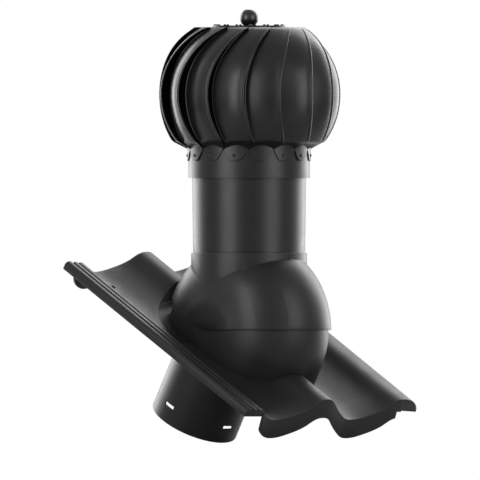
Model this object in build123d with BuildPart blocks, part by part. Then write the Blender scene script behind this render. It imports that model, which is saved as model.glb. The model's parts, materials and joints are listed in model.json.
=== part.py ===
"""Roof turbine ventilator on a tile-shaped base plate.

A bladed rotor turns on an axle that a bracket holds in the mouth of the riser pipe. The riser stands in
a drum-shaped cowl, which tilts on the drum of the base plate to keep the rotor upright on any pitch.
Frame: +Z up, +X across the roof, +Y uphill. Origin: centre of the duct spigot's open mouth.
Sizes in millimetres, angles in degrees.
"""
import os
from math import asin, cos, degrees, radians, sin, sqrt, tan

from build123d import *

os.makedirs("parts", exist_ok=True)

# ---------------------------------------------------------------- driving dimensions
roof_pitch = 30.0            # slope that the part stands on, rotor upright

# drum that carries the cowl
drum_radius = 127.9          # outside of the cowl, about the tilt axis
drum_half_width = 87.5       # outside of the cowl, along the tilt axis
drum_side_power = 1.94       # roundness of the rim towards the sides
drum_crown_power = 3.08      # roundness of the rim towards the crown
drum_side_flat = 0.16        # flat part of its sides, as a share of the radius
cowl_wall = 3.0
cowl_gap = 0.8               # running gap between cowl and base drum
cowl_rear_reach = 6.0        # cowl's rear edge below the tilt axis, square to the roof
cowl_corner_radius = 60.0    # where its level front edge turns into the sloping rear edge
tilt_steep = 10.0            # tilt for a roof this much steeper
tilt_shallow = 20.0          # tilt for a roof this much shallower

# base plate, in roof coordinates from the tilt axis: across, uphill, square to the roof
tile_length = 414.6
tile_front = 194.6           # front edge downhill of the tilt axis
tile_wall = 3.0
wave_pitch = 150.0
wave_depth = 32.8
wave_crest = -11.0           # crest under the drum, across
crest_level = 0.0
steep_run = 59.0             # crest to trough on the steep flank
interlock_left = -164.5      # left edge, under the next plate
interlock_step = -129.0      # where the interlock meets the wave
interlock_level = -20.0
interlock_drop = 8.0         # left edge turned down
rib_widths = (13.0, 7.0, 7.0)
rib_heights = (4.5, 3.6, 2.6)
rib_places = (-158.0, -145.5, -134.5)
rib_round = 1.4
overlap_right = 171.0        # right edge, over the next plate
overlap_level = -18.6
overlap_root = 8.0           # the overlap's root, left of the last crest
lip_depth = 27.5             # front lip below the plate's surface
lip_flare = 5.0              # lip's foot ahead of its root
lip_wall = 3.0
boss_wall = 3.0
boss_top = 75.0              # open top of the base drum, square to the roof
floor_level = -33.0
pocket_margin = 11.5         # pocket round the rear of the cowl
pocket_start = 20.0          # its front end, uphill of the tilt axis
floor_overlap = 3.0          # floor reaches under the plate round the drum
nib_inset = 4.0              # nibs ahead of the rear edge
nib_radius = 27.0
nib_thickness = 5.0
nib_centre = -117.0
nib_level = -29.0
nail_hole_radius = 3.5
nail_hole_across = -100.0
nail_hole_uphill = 177.0

# duct spigot
spigot_radius = 62.6
spigot_wall = 2.2
spigot_back = 30.2           # axis uphill of the tilt axis, along the roof
spigot_drop = 163.9          # mouth below the tilt axis, square to the roof
spigot_flange = 70.0
spigot_collar = 1.5          # thicker where it passes the floor
flange_thickness = 2.5
seal_thickness = 1.5
slot_length = 18.0
slot_height = 5.0
slot_above_mouth = 24.5
fit_gap = 0.1                # between pieces of one body

# riser pipe and cowl neck, heights above the tilt axis
neck_top = 108.2
neck_wall = 2.5
socket_floor = 100.5
riser_radius = 78.6          # at its foot
riser_top_radius = 79.8
riser_top = 242.0
riser_wall = 2.0
ledge = 2.6                  # socket's step under the riser's foot
groove_depth = 0.9           # shadow groove round the riser, just above the neck
groove_height = 1.2
mark_width = 2.0             # upright line-up mark on the neck's front
mark_height = 7.0
mark_proud = 0.6

# rotor, heights above the tilt axis
blade_count = 15
blade_phase = 221.0          # direction of the first blade's free edge at the equator
equator = 330.0
profile_radius = 112.5       # arc of the free edge, seen from the side
profile_offset = 15.0        # arc's centre from the axis
blade_foot = 263.0
blade_head = 423.9
sheet = 1.2
hem = 4.0                    # folded strip along the free edge
blade_span = 24.4            # angle from free edge to inner edge
blade_opening = 15.0         # inner edge behind the next free edge, at the equator
opening_end = 6.0            # the same at foot and head
section_radius = 74.0        # curvature of a blade across its width
edge_sweep = 30.0            # sideways run of the free edge at the head
collar_radius = 85.2
collar_wall = 1.0
collar_foot = 212.8
collar_top = 254.0
tab_foot = 236.0
tab_side = 253.0             # fold line at the tab's corners
skirt_trim = 1.0             # skirt's inner edge short of the blade's, as an angle
tab_left = -20.0             # tab's corners, angle from the free edge
tab_right = 3.5
tab_centre = -10.2
tab_width = 16.0             # at its foot
rivet_height = 244.3
rivet_radius = 1.6
rivet_head = 2.4
rivet_head_height = 1.9
crown_radius = 51.0
crown_thickness = 2.5
crown_rivet_ring = 47.6
crown_rivet_angle = 6.6      # from the free edge
plate_radius = 62.0
plate_thickness = 1.5
flange_radius = 54.0
housing_flange = 2.5
tab_inner_radius = 42.0
knob_radius = 12.9
knob_flat = 5.0              # radius of the flat on its top
knob_centre = 436.7
knob_stud = 4.0

# axle, bearings and bracket
axle_radius = 6.0
axle_shoulder = 2.0          # step that the lower bearing stands on
bearing_radius = 14.0
bearing_width = 8.0
ball_radius = 2.38
ball_count = 8
ball_play = 0.04
upper_bearing = 402.0        # underside of the upper bearing
lower_bearing = 332.0
housing_wall = 3.5
axle_foot = 206.0
hub_radius = 14.0
hub_height = 24.0
bracket_level = 216.0        # underside of the arms
arm_count = 3
arm_width = 22.0
arm_thickness = 3.0
foot_height = 22.0
bracket_rivet_radius = 2.4
circlip_thickness = 1.2
circlip_reach = 1.6
nut_flats = 18.0
nut_height = 7.0

# ---------------------------------------------------------------- places and planes
pitch = radians(roof_pitch)
pivot_y = -(spigot_back * cos(pitch) + spigot_drop * sin(pitch))
pivot_z = -(spigot_back * sin(pitch) - spigot_drop * cos(pitch))
pivot = Vector(0, pivot_y, pivot_z)
roof = Plane(origin=pivot, x_dir=(1, 0, 0), z_dir=(0, -sin(pitch), cos(pitch)))
roof_downhill = Plane(origin=pivot, x_dir=(-1, 0, 0), z_dir=(0, -sin(pitch), cos(pitch)))
drum_plane = Plane(origin=pivot, x_dir=(1, 0, 0), z_dir=(0, -1, 0))
side_plane = Plane(origin=pivot, x_dir=(0, 1, 0), z_dir=(1, 0, 0))
tilt_axis = Axis(pivot, (1, 0, 0))
rotor_axis = Axis(pivot, (0, 0, 1))
boss_radius = drum_radius - cowl_wall - cowl_gap
boss_half_width = drum_half_width - cowl_wall - cowl_gap
blade_step = 360.0 / blade_count


def level(height):
    """Level plane at a height above the tilt axis, centred on the rotor's axis."""
    return Plane(origin=pivot + Vector(0, 0, height))


def roof_level(height):
    """Plane parallel to the roof, at a height above the tilt axis."""
    return roof.offset(height)


def across(uphill):
    """Plane square to the slope: x across the roof, y off the roof, extruding downhill."""
    return Plane(origin=roof.from_local_coords((0, uphill, 0)), x_dir=(1, 0, 0), z_dir=-roof.y_dir)


def half_drum(plane, radius, half_width):
    """Half outline of the drum on a plane: a rounded rim between two flat sides, closed along the axis."""
    flat = drum_side_flat * radius
    rim = [(half_width, flat)]
    for turn in (78, 66, 50, 27, 0, -27, -50, -66, -78):
        reach = abs(sin(radians(turn))) ** (2 / drum_side_power)
        rise = cos(radians(turn)) ** (2 / drum_crown_power)
        rim.append((half_width * (reach if turn > 0 else -reach), radius * rise))
    rim.append((-half_width, flat))
    with BuildSketch(plane) as outline:
        with BuildLine():
            Spline(*rim, tangents=[(0, 1), (0, -1)])
            Polyline((-half_width, flat), (-half_width, 0), (half_width, 0), (half_width, flat))
        make_face()
    return outline.sketch


def tangent_radius(height):
    """Radius of the blades' free edges at a height."""
    return profile_offset + sqrt(profile_radius**2 - (height - equator) ** 2)


# ---------------------------------------------------------------- cowl
with BuildPart() as kept_region:
    with BuildSketch(side_plane.offset(-1.2 * drum_half_width)):
        far = 2 * drum_radius
        corner = cowl_rear_reach / sin(pitch)
        with BuildLine():
            edge = Polyline(
                (-far, 0),
                (corner, 0),
                (far, (far - corner) * tan(pitch)),
                (far, far),
                (-far, far),
                close=True,
            )
        make_face()
        fillet(vertices().sort_by_distance((0, corner + pivot_y, pivot_z))[0], cowl_corner_radius)
    extrude(amount=2.4 * drum_half_width)

with BuildPart() as cowl:
    revolve(half_drum(drum_plane, drum_radius, drum_half_width), axis=tilt_axis)
    with BuildSketch(drum_plane) as neck:
        neck_radius = riser_radius + fit_gap + neck_wall
        Rectangle(neck_radius, neck_top, align=(Align.MIN, Align.MIN))
        fillet(neck.vertices().sort_by_distance(pivot + Vector(neck_radius, 0, neck_top))[0], neck_wall / 2)
    revolve(axis=rotor_axis)
    cavity = half_drum(drum_plane, drum_radius - cowl_wall, drum_half_width - cowl_wall)
    revolve(cavity, axis=tilt_axis, mode=Mode.SUBTRACT)
    add(kept_region.part, mode=Mode.INTERSECT)
    with BuildSketch(level(neck_top - neck_wall - mark_height)):
        with Locations((0, -neck_radius - mark_proud)):
            Rectangle(mark_width, 2 * neck_wall, align=(Align.CENTER, Align.MIN))
    extrude(amount=mark_height)
    with BuildSketch(level(0)):
        Circle(riser_radius - ledge)
    extrude(amount=drum_radius, mode=Mode.SUBTRACT)
    with BuildSketch(level(socket_floor)):
        Circle(riser_radius + fit_gap)
    extrude(amount=drum_radius, mode=Mode.SUBTRACT)
cowl.part.label = "cowl"
export_step(cowl.part, "parts/cowl.step")


# ---------------------------------------------------------------- base plate
trough_level = crest_level - wave_depth
gentle_run = wave_pitch - steep_run
shoulder = (interlock_step, interlock_level)
last_crest = wave_crest + wave_pitch
tile_back = tile_length - tile_front


def wave_fall(crest):
    """Points of the steep flank, from a crest down to the trough on its right."""
    return [
        (crest, crest_level),
        (crest + 0.35 * steep_run, crest_level - 0.33 * wave_depth),
        (crest + 0.73 * steep_run, crest_level - 0.86 * wave_depth),
        (crest + steep_run, trough_level),
    ]


def wave_rise(crest):
    """Points of the gentle flank, from the trough on a crest's left up to the crest."""
    return [
        (crest - gentle_run, trough_level),
        (crest - 0.65 * gentle_run, trough_level + 0.19 * wave_depth),
        (crest - 0.3 * gentle_run, trough_level + 0.63 * wave_depth),
        (crest, crest_level),
    ]


with BuildLine() as wave_line:
    Spline(shoulder, (wave_crest - gentle_run, trough_level), tangents=[(1, -1), (1, 0)])
    Spline(*wave_rise(wave_crest), tangents=[(1, 0), (1, 0)])
    Spline(*wave_fall(wave_crest), tangents=[(1, 0), (1, 0)])
    Spline(*wave_rise(last_crest), tangents=[(1, 0), (1, 0)])

with BuildLine() as plate_line:
    Line((interlock_left, interlock_level), shoulder)
    add(wave_line.line)
    overlap_run = overlap_right - last_crest
    Spline(
        (last_crest, crest_level),
        (last_crest + 0.78 * overlap_run, crest_level + 0.37 * overlap_level),
        (overlap_right, overlap_level),
        tangents=[(1, 0), (0.1, -1)],
    )


def under_plate(plane, depth):
    """Section on a plane from the plate's top line down to a depth below it."""
    with BuildSketch(plane) as section:
        with BuildLine():
            add(plate_line.line)
            add(plate_line.line.moved(Location((0, -depth, 0))))
            Line((interlock_left, interlock_level), (interlock_left, interlock_level - depth))
            Line((overlap_right, overlap_level), (overlap_right, overlap_level - depth))
        make_face()
    return section.sketch


below_floor = floor_level - tile_wall


def pocket_block(low, high, wall):
    """Block behind the drum between two roof levels, with the pocket's outline grown by a wall."""
    with BuildPart() as block:
        extrude(half_drum(roof_level(low), drum_radius + pocket_margin + wall,
                          drum_half_width + pocket_margin + wall), amount=high - low)
        with BuildSketch(roof_level(low)):
            with Locations((0, pocket_start - wall)):
                Rectangle(4 * drum_half_width, 2 * drum_radius, align=(Align.CENTER, Align.MIN))
        extrude(amount=high - low, mode=Mode.INTERSECT)
    return block.part


with BuildPart() as pocket_wall:
    add(pocket_block(below_floor, crest_level, tile_wall))
    extrude(under_plate(across(tile_back), 2 * wave_depth), amount=tile_length, mode=Mode.INTERSECT)
    add(pocket_block(floor_level, 2 * wave_depth, 0), mode=Mode.SUBTRACT)
    extrude(half_drum(roof_level(floor_level), boss_radius + fit_gap, boss_half_width + fit_gap),
            amount=2 * wave_depth, mode=Mode.SUBTRACT)

with BuildPart() as front_lip:
    root = roof.from_local_coords((interlock_step, -tile_front, interlock_level))
    with BuildSketch(Plane(origin=root, x_dir=roof.y_dir, z_dir=(1, 0, 0))):
        with BuildLine():
            Polyline((0, 0), (-lip_flare, -lip_depth), (lip_wall - lip_flare, -lip_depth), (lip_wall, 0),
                     close=True)
        make_face()
    sweep(path=across(-tile_front).from_local_coords(wave_line.line), normal=(1, 0, 0))
    with BuildSketch(across(2 * lip_wall - tile_front)):
        with Locations((last_crest - overlap_root, overlap_level)):
            Rectangle(wave_pitch, wave_pitch, align=(Align.MIN, Align.MAX))
    extrude(amount=4 * lip_flare, mode=Mode.SUBTRACT)

# upright ends of the lip: shallow under the interlock and under the right overlap
with BuildPart() as lip_ends:
    extrude(under_plate(across(lip_wall - tile_front), lip_depth), amount=lip_wall)
    with BuildSketch(across(2 * lip_wall - tile_front)):
        with Locations((interlock_step, 0)):
            Rectangle(last_crest - overlap_root - interlock_step, 2 * wave_pitch,
                      align=(Align.MIN, Align.CENTER))
        with Locations((0, interlock_level - interlock_drop)):
            Rectangle(-interlock_left, wave_pitch, align=(Align.MAX, Align.MAX))
        with Locations((0, overlap_level)):
            Rectangle(2 * overlap_right, wave_pitch, align=(Align.MIN, Align.MAX))
    extrude(amount=3 * lip_wall, mode=Mode.SUBTRACT)

# half-round nibs that hook over the batten
with BuildPart() as nibs:
    with BuildSketch(across(tile_back - nib_inset)):
        for place in (nib_centre, nib_centre + wave_pitch):
            with Locations((place, nib_level)):
                Circle(nib_radius)
    extrude(amount=nib_thickness)
    extrude(under_plate(across(tile_back), 2 * wave_depth), amount=2 * nib_inset + nib_thickness,
            mode=Mode.INTERSECT)

with BuildPart() as flashing:
    extrude(under_plate(across(tile_back), tile_wall), amount=tile_length)
    # interlock ribs and the turned down left edge
    with BuildSketch(across(tile_back)):
        for place, width, height in zip(rib_places, rib_widths, rib_heights):
            with Locations((place, interlock_level - tile_wall / 2 + (height + tile_wall / 2) / 2)):
                RectangleRounded(width, height + tile_wall / 2, rib_round)
        with Locations((interlock_left, interlock_level)):
            Rectangle(tile_wall, interlock_drop, align=(Align.MIN, Align.MAX))
    extrude(amount=tile_length)
    # room for the base drum and the pocket behind it, above a flat floor
    seat = half_drum(roof_downhill.offset(2 * floor_level), boss_radius + fit_gap, boss_half_width + fit_gap)
    extrude(seat, amount=2 * wave_depth + drum_radius, mode=Mode.SUBTRACT)
    add(pocket_block(2 * floor_level, wave_depth, 0), mode=Mode.SUBTRACT)
    with BuildSketch(roof_level(2 * floor_level)):
        Rectangle(2 * (boss_half_width + fit_gap), pocket_start, align=(Align.CENTER, Align.MIN))
    extrude(amount=2 * wave_depth + drum_radius, mode=Mode.SUBTRACT)
    add(pocket_wall.part)
    extrude(half_drum(roof_downhill.offset(below_floor), boss_radius + floor_overlap,
                      boss_half_width + floor_overlap), amount=tile_wall)
    with BuildSketch(roof_level(below_floor)):
        with Locations((0, -tile_wall)):
            Rectangle(2 * (boss_half_width + floor_overlap), pocket_start, align=(Align.CENTER, Align.MIN))
    extrude(amount=tile_wall)
    add(nibs.part)
    with BuildSketch(roof_level(2 * floor_level)):
        for place in (nail_hole_across, nail_hole_across + wave_pitch):
            with Locations((place, nail_hole_uphill)):
                Circle(nail_hole_radius)
        with Locations((0, spigot_back)):
            Circle(spigot_radius + spigot_collar + fit_gap)
    extrude(amount=wave_depth + drum_radius, mode=Mode.SUBTRACT)
    add(front_lip.part)
    add(lip_ends.part)
flashing.part.label = "flashing"
export_step(flashing.part, "parts/flashing.step")

with BuildPart() as base_drum:
    outer = half_drum(roof_downhill, boss_radius, boss_half_width)
    revolve(outer, axis=tilt_axis.reverse(), revolution_arc=270)
    extrude(outer, amount=floor_level)
    inner = half_drum(roof_downhill, boss_radius - boss_wall, boss_half_width - boss_wall)
    revolve(inner, axis=tilt_axis.reverse(), revolution_arc=270, mode=Mode.SUBTRACT)
    extrude(inner, amount=floor_level, mode=Mode.SUBTRACT)
    with BuildSketch(roof_level(floor_level)):
        Rectangle(3 * drum_half_width, 3 * drum_radius)
    extrude(amount=boss_top - floor_level, mode=Mode.INTERSECT)
base_drum.part.label = "base_drum"
export_step(base_drum.part, "parts/base_drum.step")

# ---------------------------------------------------------------- duct spigot
with BuildPart() as duct_spigot:
    tube_length = spigot_drop + floor_level + seal_thickness
    with BuildSketch(roof_level(-spigot_drop)):
        with Locations((0, spigot_back)):
            Circle(spigot_radius)
    extrude(amount=tube_length + flange_thickness)
    with BuildSketch(roof_level(below_floor - spigot_collar)):
        with Locations((0, spigot_back)):
            Circle(spigot_radius + spigot_collar)
    extrude(amount=tile_wall + spigot_collar + seal_thickness)
    with BuildSketch(roof_level(floor_level + seal_thickness)):
        with Locations((0, spigot_back)):
            Circle(spigot_flange)
    extrude(amount=flange_thickness)
    with BuildSketch(roof_level(-spigot_drop)):
        with Locations((0, spigot_back)):
            Circle(spigot_radius - spigot_wall)
    extrude(amount=tube_length + flange_thickness, mode=Mode.SUBTRACT)
    # latch slots near the mouth, one every quarter turn
    slot_place = roof.from_local_coords((0, spigot_back, slot_above_mouth - spigot_drop))
    for x_dir, z_dir in (((1, 0, 0), roof.y_dir), (roof.y_dir, (1, 0, 0))):
        with BuildSketch(Plane(origin=slot_place, x_dir=x_dir, z_dir=z_dir)):
            Rectangle(slot_length, slot_height)
        extrude(amount=1.1 * spigot_radius, both=True, mode=Mode.SUBTRACT)
duct_spigot.part.label = "duct_spigot"
export_step(duct_spigot.part, "parts/duct_spigot.step")

with BuildPart() as spigot_seal:
    with BuildSketch(roof_level(floor_level)):
        with Locations((0, spigot_back)):
            Circle(spigot_flange)
            Circle(spigot_radius + spigot_collar + fit_gap, mode=Mode.SUBTRACT)
    extrude(amount=seal_thickness)
spigot_seal.part.label = "spigot_seal"
export_step(spigot_seal.part, "parts/spigot_seal.step")

# ---------------------------------------------------------------- riser pipe
bracket_rivet_level = bracket_level + foot_height / 2


def ring_points(count, radius, phase=0.0):
    """Evenly spaced directions about the rotor axis, as angle and point."""
    for number in range(count):
        angle = phase + number * 360.0 / count
        yield angle, (radius * cos(radians(angle)), radius * sin(radians(angle)))


def radial_plane(angle, height):
    """Upright plane through a point of the rotor axis, facing outwards at an angle."""
    outwards = Vector(cos(radians(angle)), sin(radians(angle)), 0)
    return Plane(origin=pivot + Vector(0, 0, height), x_dir=(-outwards.Y, outwards.X, 0), z_dir=outwards)


with BuildPart() as riser_pipe:
    with BuildSketch(drum_plane):
        with BuildLine():
            Polyline(
                (riser_radius - riser_wall, socket_floor),
                (riser_radius, socket_floor),
                (riser_radius, neck_top),
                (riser_radius - groove_depth, neck_top),
                (riser_radius - groove_depth, neck_top + groove_height),
                (riser_radius, neck_top + groove_height),
                (riser_top_radius, collar_foot),
                (riser_top_radius, riser_top),
                (riser_top_radius - riser_wall, riser_top),
                (riser_top_radius - riser_wall, collar_foot),
                (riser_radius - riser_wall, neck_top),
                close=True,
            )
        make_face()
    revolve(axis=rotor_axis)
    for angle, _ in ring_points(arm_count, 1, 90):
        with BuildSketch(radial_plane(angle, bracket_rivet_level)):
            Circle(bracket_rivet_radius + fit_gap)
        extrude(amount=1.1 * riser_top_radius, mode=Mode.SUBTRACT)
riser_pipe.part.label = "riser_pipe"
export_step(riser_pipe.part, "parts/riser_pipe.step")

# ---------------------------------------------------------------- axle bracket
foot_outer = riser_top_radius - riser_wall - fit_gap
hub_top = bracket_level + hub_height

with BuildPart() as axle_bracket:
    with BuildSketch(level(bracket_level)):
        Circle(hub_radius)
    extrude(amount=hub_height)
    for inner, height in ((0, arm_thickness), (foot_outer - arm_thickness, foot_height)):
        with BuildSketch(level(bracket_level)):
            with PolarLocations(foot_outer / 2, arm_count, start_angle=90):
                Rectangle(foot_outer, arm_width)
            Circle(foot_outer, mode=Mode.INTERSECT)
            if inner:
                Circle(inner, mode=Mode.SUBTRACT)
        extrude(amount=height)
    with BuildSketch(level(bracket_level)):
        Circle(axle_radius + fit_gap)
    extrude(amount=hub_height, mode=Mode.SUBTRACT)
    for angle, _ in ring_points(arm_count, 1, 90):
        with BuildSketch(radial_plane(angle, bracket_rivet_level).offset(2 * hub_radius)):
            Circle(bracket_rivet_radius + fit_gap)
        extrude(amount=riser_top_radius, mode=Mode.SUBTRACT)
axle_bracket.part.label = "axle_bracket"
export_step(axle_bracket.part, "parts/axle_bracket.step")


def rivet_profile(shank, head, head_height, outer, inner, tail):
    """Half section of a rivet along a radial line: domed head outside, flat tail inside."""
    dome = (head**2 + head_height**2) / (2 * head_height)
    half_turn = asin(head / dome) / 2
    dome_middle = (dome * sin(half_turn), outer + head_height - dome * (1 - cos(half_turn)))
    with BuildSketch() as section:
        with BuildLine():
            Line((0, inner - tail), (head * 0.8, inner - tail))
            Line((head * 0.8, inner - tail), (head * 0.8, inner))
            Line((head * 0.8, inner), (shank, inner))
            Line((shank, inner), (shank, outer))
            Line((shank, outer), (head, outer))
            ThreePointArc((head, outer), dome_middle, (0, outer + head_height))
            Line((0, outer + head_height), (0, inner - tail))
        make_face()
    return section.sketch


def rivet(place, outer, inner, shank, head, head_height, tail):
    """Rivet through walls between two distances along a plane's normal."""
    section = rivet_profile(shank, head, head_height, outer, inner, tail)
    upright = Plane(origin=place.origin, x_dir=place.x_dir, z_dir=-place.y_dir)
    with BuildPart() as piece:
        revolve(upright * section, axis=Axis(place.origin, place.z_dir))
    return piece.part


bracket_rivet_set = [
    rivet(radial_plane(angle, bracket_rivet_level), riser_top_radius + fit_gap,
          foot_outer - arm_thickness - fit_gap, bracket_rivet_radius, 2 * bracket_rivet_radius,
          0.6 * bracket_rivet_radius, 0.6 * bracket_rivet_radius)
    for angle, _ in ring_points(arm_count, 1, 90)
]
with BuildPart() as bracket_rivets:
    add(bracket_rivet_set)
bracket_rivets.part.label = "bracket_rivets"
export_step(bracket_rivets.part, "parts/bracket_rivets.step")

# ---------------------------------------------------------------- axle and bearings
nut_reach = nut_flats / 2
axle_top = upper_bearing + bearing_width + nut_height + 2 * sheet

with BuildPart() as axle:
    with BuildSketch(level(axle_foot)):
        Circle(axle_radius)
    extrude(amount=axle_top - axle_foot)
    with BuildSketch(level(hub_top + nut_height)):
        Circle(axle_radius + axle_shoulder)
    extrude(amount=lower_bearing - hub_top - nut_height)
    chamfer(axle.faces().sort_by(Axis.Z)[-1].edges(), sheet / 2)
axle.part.label = "axle"
export_step(axle.part, "parts/axle.step")

nut_levels = {
    "lower_nut": bracket_level - nut_height,
    "upper_nut": hub_top,
    "top_nut": upper_bearing + bearing_width,
}
for name, height in nut_levels.items():
    with BuildPart() as nut:
        with BuildSketch(level(height)):
            RegularPolygon(nut_reach, 6, major_radius=False)
            Circle(axle_radius + fit_gap / 2, mode=Mode.SUBTRACT)
        extrude(amount=nut_height)
    nut.part.label = name
    export_step(nut.part, f"parts/{name}.step")

with BuildPart() as spacer:
    with BuildSketch(level(lower_bearing + bearing_width)):
        Circle(axle_radius + axle_shoulder)
        Circle(axle_radius + fit_gap / 2, mode=Mode.SUBTRACT)
    extrude(amount=upper_bearing - lower_bearing - bearing_width)
spacer.part.label = "axle_spacer"
export_step(spacer.part, "parts/axle_spacer.step")

ball_ring = (axle_radius + bearing_radius) / 2
race_edge = 0.6 * ball_radius


def race(low, inner, outer):
    """Bearing race between two radii, with the balls' groove."""
    with BuildPart() as ring:
        with BuildSketch(drum_plane.shift_origin(pivot + Vector(0, 0, low))):
            with Locations((inner, 0)):
                Rectangle(outer - inner, bearing_width, align=(Align.MIN, Align.MIN))
            with Locations((ball_ring, bearing_width / 2)):
                Circle(ball_radius + ball_play, mode=Mode.SUBTRACT)
        revolve(axis=rotor_axis)
    return ring.part


for side, low in (("lower", lower_bearing), ("upper", upper_bearing)):
    inner_race = race(low, axle_radius + fit_gap / 2, ball_ring - race_edge)
    inner_race.label = f"{side}_inner_race"
    export_step(inner_race, f"parts/{side}_inner_race.step")
    outer_race = race(low, ball_ring + race_edge, bearing_radius)
    outer_race.label = f"{side}_outer_race"
    export_step(outer_race, f"parts/{side}_outer_race.step")
    with BuildPart() as balls:
        for _, (x, y) in ring_points(ball_count, ball_ring):
            with Locations(pivot + Vector(x, y, low + bearing_width / 2)):
                Sphere(ball_radius)
    balls.part.label = f"{side}_balls"
    export_step(balls.part, f"parts/{side}_balls.step")

# ---------------------------------------------------------------- rotor hub
plate_level = blade_head - sheet - plate_thickness
flange_level = plate_level - housing_flange
crown_phase = blade_phase + crown_rivet_angle
housing_foot = lower_bearing - 3 * circlip_thickness
circlip_level = lower_bearing - circlip_thickness - fit_gap / 2

with BuildPart() as bearing_housing:
    seat_radius = bearing_radius + fit_gap / 2
    with BuildSketch(drum_plane):
        with BuildLine():
            Polyline(
                (seat_radius, housing_foot),
                (seat_radius + housing_wall, housing_foot),
                (seat_radius + housing_wall, flange_level),
                (flange_radius, flange_level),
                (flange_radius, plate_level),
                (seat_radius, plate_level),
                (seat_radius, upper_bearing),
                (bearing_radius - circlip_reach, upper_bearing),
                (bearing_radius - circlip_reach, lower_bearing + bearing_width),
                (seat_radius, lower_bearing + bearing_width),
                close=True,
            )
        make_face()
        with Locations((seat_radius, circlip_level - fit_gap / 2)):
            Rectangle(circlip_reach / 2 + fit_gap, circlip_thickness + fit_gap,
                      align=(Align.MIN, Align.MIN), mode=Mode.SUBTRACT)
    revolve(axis=rotor_axis)
    with BuildSketch(level(flange_level)):
        with PolarLocations(crown_rivet_ring, blade_count, start_angle=crown_phase):
            Circle(rivet_radius + fit_gap)
    extrude(amount=housing_flange, mode=Mode.SUBTRACT)
bearing_housing.part.label = "bearing_housing"
export_step(bearing_housing.part, "parts/bearing_housing.step")

with BuildPart() as circlip:
    with BuildSketch(level(circlip_level)):
        Circle(seat_radius + circlip_reach / 2)
        Circle(bearing_radius - circlip_reach, mode=Mode.SUBTRACT)
        Rectangle(2 * bearing_radius, 2 * circlip_reach, align=(Align.MIN, Align.CENTER), mode=Mode.SUBTRACT)
    extrude(amount=circlip_thickness)
circlip.part.label = "circlip"
export_step(circlip.part, "parts/circlip.step")

discs = {
    "top_plate": (plate_level, plate_radius, plate_thickness),
    "crown_disc": (blade_head, crown_radius, crown_thickness),
}
for name, (height, radius, thickness) in discs.items():
    with BuildPart() as disc:
        with BuildSketch(level(height)):
            Circle(radius)
            Circle(knob_stud + fit_gap, mode=Mode.SUBTRACT)
            with PolarLocations(crown_rivet_ring, blade_count, start_angle=crown_phase):
                Circle(rivet_radius + fit_gap, mode=Mode.SUBTRACT)
        extrude(amount=thickness)
    disc.part.label = name
    export_step(disc.part, f"parts/{name}.step")

crown_rivet_set = [
    rivet(Plane(origin=pivot + Vector(x, y, 0)), blade_head + crown_thickness, flange_level, rivet_radius,
          rivet_head, rivet_head_height, sheet)
    for _, (x, y) in ring_points(blade_count, crown_rivet_ring, crown_phase)
]
with BuildPart() as crown_rivets:
    add(crown_rivet_set)
crown_rivets.part.label = "crown_rivets"
export_step(crown_rivets.part, "parts/crown_rivets.step")

with BuildPart() as finial_knob:
    crown_top = blade_head + crown_thickness
    knob_top = knob_centre + sqrt(knob_radius**2 - knob_flat**2)
    with BuildSketch(drum_plane):
        with Locations((0, knob_centre)):
            Circle(knob_radius)
        with Locations((0, crown_top)):
            Rectangle(knob_radius, knob_top - crown_top, align=(Align.MIN, Align.MIN), mode=Mode.INTERSECT)
        with Locations((0, plate_level)):
            Rectangle(knob_stud, knob_centre - plate_level, align=(Align.MIN, Align.MIN))
    revolve(axis=rotor_axis)
finial_knob.part.label = "finial_knob"
export_step(finial_knob.part, "parts/finial_knob.step")

# ---------------------------------------------------------------- rotor collar
collar_phase = blade_phase + tab_centre

with BuildPart() as rotor_collar:
    with BuildSketch(level(collar_foot)):
        Circle(collar_radius)
        Circle(collar_radius - collar_wall, mode=Mode.SUBTRACT)
    extrude(amount=collar_top - collar_foot)
    for angle, _ in ring_points(blade_count, 1, collar_phase):
        with BuildSketch(radial_plane(angle, rivet_height)):
            Circle(rivet_radius + fit_gap)
        extrude(amount=1.1 * collar_radius, mode=Mode.SUBTRACT)
rotor_collar.part.label = "rotor_collar"
export_step(rotor_collar.part, "parts/rotor_collar.step")

tab_face = collar_radius + fit_gap + sheet

collar_rivet_set = [
    rivet(radial_plane(angle, rivet_height), tab_face, collar_radius - collar_wall - fit_gap, rivet_radius,
          rivet_head, rivet_head_height, sheet / 2)
    for angle, _ in ring_points(blade_count, 1, collar_phase)
]
with BuildPart() as collar_rivets:
    add(collar_rivet_set)
collar_rivets.part.label = "collar_rivets"
export_step(collar_rivets.part, "parts/collar_rivets.step")

# ---------------------------------------------------------------- blades
head_rise = blade_head - equator
foot_drop = equator - blade_foot


def polar(radius, angle):
    """Point at a radius and an angle in degrees."""
    return Vector(radius * cos(radians(angle)), radius * sin(radians(angle)))


def free_edge(height):
    """Radius and angle of a blade's free edge at a height; the angle is zero at the equator."""
    radius = tangent_radius(height)
    run = edge_sweep * ((height - equator) / head_rise) ** 2
    return radius, degrees(asin(run / radius))


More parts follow.
